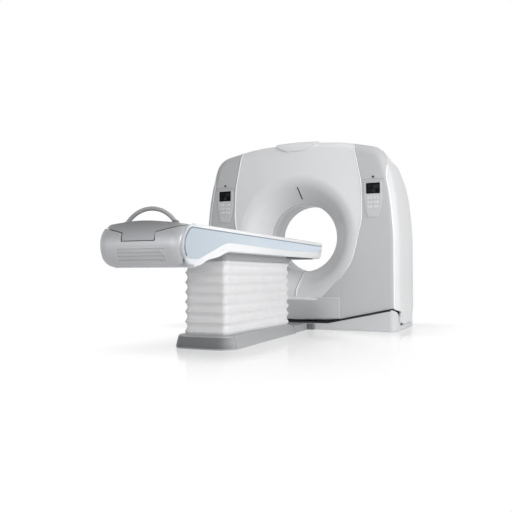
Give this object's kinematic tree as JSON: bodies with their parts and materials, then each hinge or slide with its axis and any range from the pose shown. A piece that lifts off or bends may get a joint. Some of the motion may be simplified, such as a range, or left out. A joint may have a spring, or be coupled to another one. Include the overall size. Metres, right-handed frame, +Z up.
{
  "type": "ct scanner",
  "caption": "Whole-body CT scanner: a tilting ring gantry with a spinning rotor, and a raised patient couch with a folded bellows and a sliding table top.",
  "frame": {"origin": "on the floor straight under the isocentre, which is also the middle of the gantry's floor anchor pattern", "axes": "+Y along the bore from the couch into the gantry, +Z up, +X to the right of someone who looks along +Y"},
  "size_m": [2.11, 3.704, 1.9269],
  "materials": {
    "white_cover": "painted glass-fibre cover, satin gloss",
    "panel_grey": "painted moulded panel, satin",
    "liner_grey": "moulded liner, smooth",
    "window_film": "ray-transparent film",
    "bezel_grey": "moulded bezel, satin",
    "key_white": "moulded keys, satin",
    "screen_black": "dark display glass",
    "lamp_lens": "indicator lens",
    "frame_steel": "welded steel, painted",
    "machined_steel": "machined steel",
    "rotor_aluminium": "machined casting",
    "tube_housing": "painted housing",
    "detector_black": "detector housing",
    "electronics": "painted sheet-metal boxes",
    "foot_rubber": "levelling pads",
    "base_grey": "painted cast base",
    "link_grey": "moulded floor cover",
    "socket_dark": "dark moulded socket",
    "bellows_cloth": "coated folded cloth",
    "couch_white": "painted housing, satin gloss",
    "inset_blue": "pale blue side panel",
    "silver_cover": "silver painted cover",
    "cap_grey": "darker grey end cap",
    "cradle_grey": "laminated cradle board",
    "handle_grey": "moulded handle",
    "lift_steel": "telescopic steel tubes",
    "motor_grey": "gear motor, painted"
  },
  "bodies": {
    "base": {"gantry_base_frame": "frame_steel", "levelling_feet": "foot_rubber", "left_column": "frame_steel", "right_column": "frame_steel", "trunnion_bearings": "machined_steel", "tilt_gear_motor": "motor_grey", "base_front_cover": "panel_grey", "base_rear_cover": "panel_grey", "couch_base_plate": "base_grey", "floor_link_cover": "link_grey", "link_socket": "socket_dark", "lift_column_outer": "lift_steel", "bellows": "bellows_cloth"},
    "tilt_unit": {"tilt_frame": "frame_steel", "bearing_outer_ring": "machined_steel", "front_center_cover": "white_cover", "lower_front_cover": "panel_grey", "left_front_panel": "panel_grey", "right_front_panel": "panel_grey", "left_side_cover": "white_cover", "right_side_cover": "white_cover", "top_cover": "white_cover", "top_cap": "white_cover", "rear_cover": "white_cover", "bore_liner": "liner_grey", "scan_window": "window_film", "left_bezel": "bezel_grey", "right_bezel": "bezel_grey", "gantry_displays": "screen_black", "indicator_lamps": "lamp_lens"},
    "rotor": {"rotor_drum": "rotor_aluminium", "slip_ring": "machined_steel", "xray_tube": "tube_housing", "beam_collimator": "machined_steel", "detector_arc": "detector_black", "hv_generator": "electronics", "data_unit": "electronics", "tube_cooler": "electronics"},
    "lift_stage": {"lift_column_middle": "lift_steel"},
    "couch_top": {"couch_frame": "couch_white", "side_inset_panels": "inset_blue", "foot_cover": "silver_cover", "lower_carriage": "frame_steel", "lift_column_inner": "lift_steel"},
    "table_top": {"tabletop_board": "cradle_grey", "tabletop_carriage": "machined_steel", "tabletop_end_cap": "cap_grey", "cradle_handle": "handle_grey"},
    "left_key_1": {"left_key_1": "key_white"},
    "left_key_2": {"left_key_2": "key_white"},
    "left_key_3": {"left_key_3": "key_white"},
    "left_key_4": {"left_key_4": "key_white"},
    "left_key_5": {"left_key_5": "key_white"},
    "left_key_6": {"left_key_6": "key_white"},
    "right_key_1": {"right_key_1": "key_white"},
    "right_key_2": {"right_key_2": "key_white"},
    "right_key_3": {"right_key_3": "key_white"},
    "right_key_4": {"right_key_4": "key_white"},
    "right_key_5": {"right_key_5": "key_white"},
    "right_key_6": {"right_key_6": "key_white"}
  },
  "joints": [
    {"name": "gantry_tilt", "type": "hinge", "parent": "base", "child": "tilt_unit", "pos_m": [0, 0, 0.941], "axis": [-1, 0, 0], "range_deg": [-24, 24]},
    {"name": "rotor_spin", "type": "hinge", "parent": "tilt_unit", "child": "rotor", "pos_m": [0, 0, 0.941], "axis": [0, 1, 0], "continuous": true},
    {"name": "couch_lift", "type": "slide", "parent": "base", "child": "couch_top", "axis": [0, 0, 1], "range_m": [-0.35, 0], "deforming": ["bellows"]},
    {"name": "lift_stage_slide", "type": "slide", "parent": "base", "child": "lift_stage", "axis": [0, 0, 1], "range_m": [-0.175, 0]},
    {"name": "table_slide", "type": "slide", "parent": "couch_top", "child": "table_top", "axis": [0, 1, 0], "range_m": [0, 1.75]},
    {"name": "left_key_1_press", "type": "slide", "parent": "tilt_unit", "child": "left_key_1", "axis": [0, 1, 0], "range_m": [0, 0.003], "stiffness_N_per_m": 600, "springref_m": -0.001},
    {"name": "left_key_2_press", "type": "slide", "parent": "tilt_unit", "child": "left_key_2", "axis": [0, 1, 0], "range_m": [0, 0.003], "stiffness_N_per_m": 600, "springref_m": -0.001},
    {"name": "left_key_3_press", "type": "slide", "parent": "tilt_unit", "child": "left_key_3", "axis": [0, 1, 0], "range_m": [0, 0.003], "stiffness_N_per_m": 600, "springref_m": -0.001},
    {"name": "left_key_4_press", "type": "slide", "parent": "tilt_unit", "child": "left_key_4", "axis": [0, 1, 0], "range_m": [0, 0.003], "stiffness_N_per_m": 600, "springref_m": -0.001},
    {"name": "left_key_5_press", "type": "slide", "parent": "tilt_unit", "child": "left_key_5", "axis": [0, 1, 0], "range_m": [0, 0.003], "stiffness_N_per_m": 600, "springref_m": -0.001},
    {"name": "left_key_6_press", "type": "slide", "parent": "tilt_unit", "child": "left_key_6", "axis": [0, 1, 0], "range_m": [0, 0.003], "stiffness_N_per_m": 600, "springref_m": -0.001},
    {"name": "right_key_1_press", "type": "slide", "parent": "tilt_unit", "child": "right_key_1", "axis": [0, 1, 0], "range_m": [0, 0.003], "stiffness_N_per_m": 600, "springref_m": -0.001},
    {"name": "right_key_2_press", "type": "slide", "parent": "tilt_unit", "child": "right_key_2", "axis": [0, 1, 0], "range_m": [0, 0.003], "stiffness_N_per_m": 600, "springref_m": -0.001},
    {"name": "right_key_3_press", "type": "slide", "parent": "tilt_unit", "child": "right_key_3", "axis": [0, 1, 0], "range_m": [0, 0.003], "stiffness_N_per_m": 600, "springref_m": -0.001},
    {"name": "right_key_4_press", "type": "slide", "parent": "tilt_unit", "child": "right_key_4", "axis": [0, 1, 0], "range_m": [0, 0.003], "stiffness_N_per_m": 600, "springref_m": -0.001},
    {"name": "right_key_5_press", "type": "slide", "parent": "tilt_unit", "child": "right_key_5", "axis": [0, 1, 0], "range_m": [0, 0.003], "stiffness_N_per_m": 600, "springref_m": -0.001},
    {"name": "right_key_6_press", "type": "slide", "parent": "tilt_unit", "child": "right_key_6", "axis": [0, 1, 0], "range_m": [0, 0.003], "stiffness_N_per_m": 600, "springref_m": -0.001}
  ],
  "couplings": [
    {"joint": "lift_stage_slide", "follows": "couch_lift", "ratio": 0.5}
  ]
}
